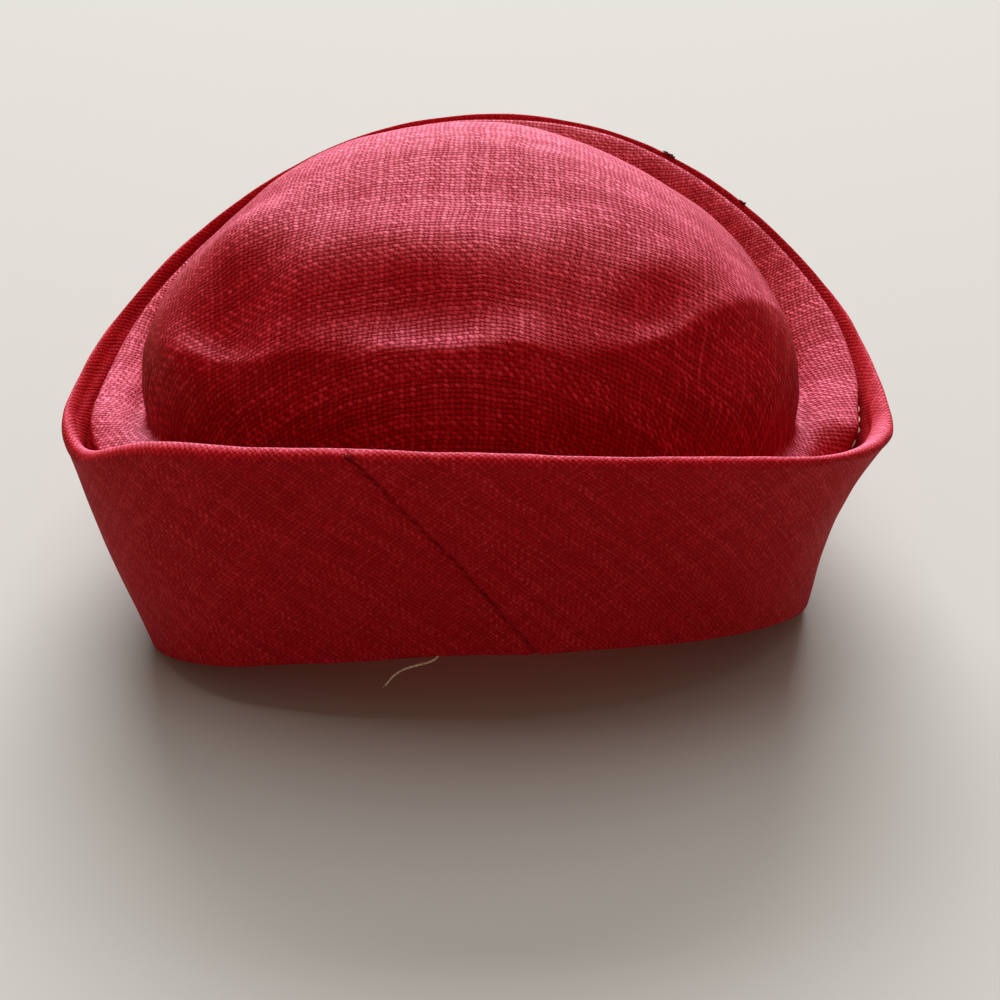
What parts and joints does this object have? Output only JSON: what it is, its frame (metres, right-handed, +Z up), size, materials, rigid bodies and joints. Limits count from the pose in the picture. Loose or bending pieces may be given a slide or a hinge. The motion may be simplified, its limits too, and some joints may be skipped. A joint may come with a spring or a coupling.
{
  "type": "soft cloth hat",
  "caption": "Soft woven hat with a shallow draped dome crown sewn inside a tall turned-up cuff that arches up over the forehead.",
  "frame": {"origin": "Under the middle of the hat's bounding box, on the surface that it rests on.", "axes": "+X to the right of somebody facing the front of the hat, along its width. The front of the hat faces -Y. +Z is up, out of the top of the crown."},
  "size_m": [0.2131, 0.1926, 0.1176],
  "materials": {
    "cuff_cloth": "matte bias-cut linen",
    "crown_cloth": "matte slubby linen"
  },
  "bodies": {
    "root": {"cuff": "cuff_cloth", "crown": "crown_cloth"}
  },
  "joints": []
}
